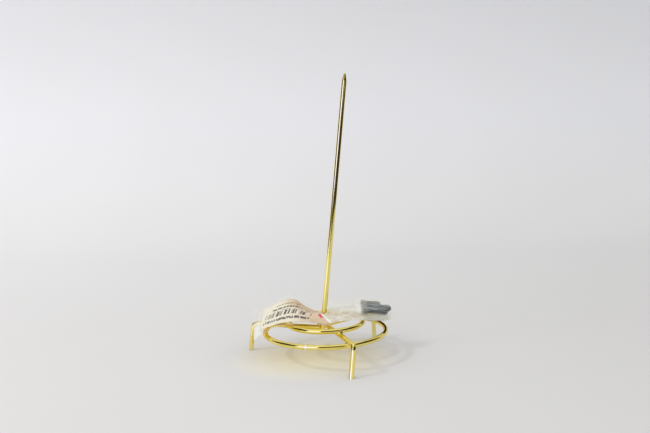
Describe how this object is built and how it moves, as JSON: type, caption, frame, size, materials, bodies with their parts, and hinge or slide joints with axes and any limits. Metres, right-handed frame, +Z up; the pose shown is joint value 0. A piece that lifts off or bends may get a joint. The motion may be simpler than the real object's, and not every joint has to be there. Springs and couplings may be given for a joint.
{
  "type": "bill spike",
  "caption": "Brass-plated wire bill spike: a leaning pointed rod on a welded ring base with splayed wire legs, and a clear packet of foot caps pushed down over the rod.",
  "frame": {"origin": "middle of the footprint on the table", "axes": "+Z up, +X to the right as the picture shows it, the side the spike leans to, +Y away from the viewer"},
  "size_m": [0.0926, 0.0874, 0.171],
  "materials": {
    "brass_plate": "polished plating",
    "film": "clear crumpled film",
    "label_paper": "coated paper with plain print",
    "cap_vinyl": "soft vinyl"
  },
  "bodies": {
    "stand": {"spike": "brass_plate", "leg_left": "brass_plate", "leg_front": "brass_plate", "leg_rear": "brass_plate", "inner_ring": "brass_plate", "outer_ring": "brass_plate", "inner_ring_seam": "brass_plate", "outer_ring_seam": "brass_plate", "inner_ring_welds": "brass_plate", "outer_ring_welds": "brass_plate", "spike_welds": "brass_plate"},
    "packet": {"bag_lower_film": "film", "bag_upper_film": "film", "label": "label_paper", "cap_front": "cap_vinyl", "cap_middle": "cap_vinyl", "cap_back": "cap_vinyl"}
  },
  "joints": [
    {"name": "packet_lift", "type": "slide", "parent": "stand", "child": "packet", "axis": [0.1115, 0, 0.9938], "range_m": [0, 0.165]}
  ]
}
